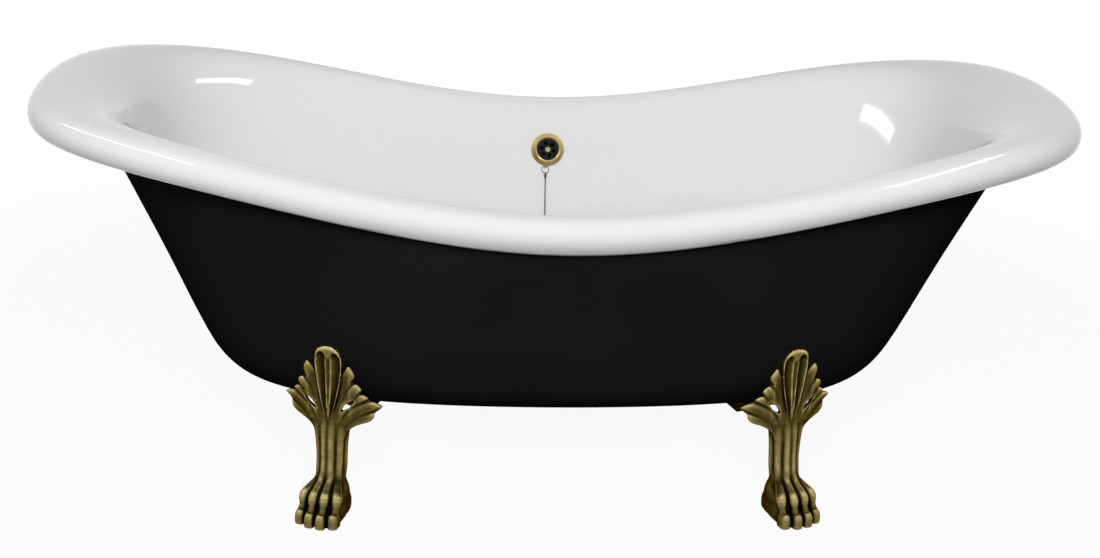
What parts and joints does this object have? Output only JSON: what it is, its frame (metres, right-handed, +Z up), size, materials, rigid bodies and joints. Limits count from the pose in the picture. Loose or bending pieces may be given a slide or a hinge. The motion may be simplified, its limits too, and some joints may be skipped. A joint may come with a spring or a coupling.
{
  "type": "footed bathtub",
  "caption": "Double-ended slipper bathtub with a rolled rim, dark outer skin, brass claw feet, overflow, waste and plug on a chain.",
  "frame": {"origin": "on the floor, under the middle of the bath", "axes": "+X along the bath's length, +Y towards the wall with the overflow, +Z up"},
  "size_m": [1.8801, 0.79, 0.7032],
  "materials": {
    "white_acrylic": "gloss white acrylic",
    "black_acrylic": "satin gloss black",
    "antique_brass": "antique brass with dark patina in the recesses",
    "brass": "brushed brass",
    "chain_metal": "dull brass",
    "black_plastic": "black moulded plastic",
    "rubber": "black rubber",
    "steel": "zinc plated steel",
    "board": "resin-sealed plywood"
  },
  "bodies": {
    "bath": {"inner_shell": "white_acrylic", "outer_shell": "black_acrylic", "base_board": "board", "mount_blocks": "board", "foot_inserts": "steel", "foot_washers": "steel", "foot_bolts": "steel", "waste_flange": "brass", "waste_seal_top": "rubber", "waste_seal_bottom": "rubber", "waste_nut_seal": "rubber", "waste_collar": "black_plastic", "waste_nut": "brass", "overflow_bezel": "brass", "overflow_rose": "black_plastic", "overflow_screw": "brass", "overflow_seal_front": "rubber", "overflow_seal_back": "rubber", "overflow_elbow": "black_plastic", "overflow_hose": "black_plastic", "hose_clips": "steel", "overflow_ring": "chain_metal", "chain_coupling_top": "chain_metal", "chain": "chain_metal", "foot_front_left": "antique_brass", "foot_front_right": "antique_brass", "foot_rear_left": "antique_brass", "foot_rear_right": "antique_brass"},
    "plug": {"plug_stopper": "rubber", "plug_cap": "brass", "plug_eye": "brass", "plug_ring": "chain_metal", "chain_coupling_bottom": "chain_metal"},
    "leveller_front_left": {"leveller_front_left": "steel"},
    "leveller_front_right": {"leveller_front_right": "steel"},
    "leveller_rear_left": {"leveller_rear_left": "steel"},
    "leveller_rear_right": {"leveller_rear_right": "steel"}
  },
  "joints": [
    {"name": "plug_lift", "type": "slide", "parent": "bath", "child": "plug", "axis": [0, 0, 1], "range_m": [0, 0.08], "deforming": ["chain"]},
    {"name": "level_front_left", "type": "slide", "parent": "bath", "child": "leveller_front_left", "axis": [0, 0, 1], "range_m": [-0.012, 0]},
    {"name": "level_front_right", "type": "slide", "parent": "bath", "child": "leveller_front_right", "axis": [0, 0, 1], "range_m": [-0.012, 0]},
    {"name": "level_rear_left", "type": "slide", "parent": "bath", "child": "leveller_rear_left", "axis": [0, 0, 1], "range_m": [-0.012, 0]},
    {"name": "level_rear_right", "type": "slide", "parent": "bath", "child": "leveller_rear_right", "axis": [0, 0, 1], "range_m": [-0.012, 0]}
  ]
}
